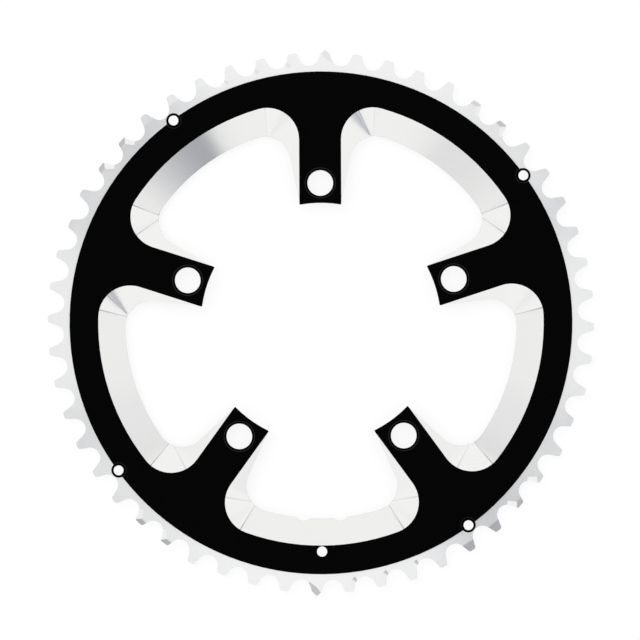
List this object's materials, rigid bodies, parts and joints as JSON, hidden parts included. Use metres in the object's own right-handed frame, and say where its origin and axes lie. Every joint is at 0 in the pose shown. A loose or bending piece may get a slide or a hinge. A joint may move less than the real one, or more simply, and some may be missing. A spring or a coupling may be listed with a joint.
{
  "type": "bicycle chainring",
  "caption": "Flat toothed ring for a bicycle crank, with inward bolt tabs, bevelled windows, a black front face, bright teeth and pressed steel shift pins.",
  "frame": {"origin": "centre of the bolt circle, on the plane of the tabs' rear seats", "axes": "+Z along the ring's axis, out of the front (outboard) face; +Y through the tab that stands opposite the chain drop pin"},
  "size_m": [0.215, 0.215, 0.0106],
  "materials": {
    "ring": "black anodised, with the teeth and window bevels machined bright afterwards",
    "pin_steel": "bright turned steel"
  },
  "bodies": {
    "root": {"chainring": "ring", "shift_pin_1": "pin_steel", "shift_pin_2": "pin_steel", "shift_pin_3": "pin_steel", "shift_pin_4": "pin_steel", "chain_drop_pin": "pin_steel"}
  },
  "joints": []
}
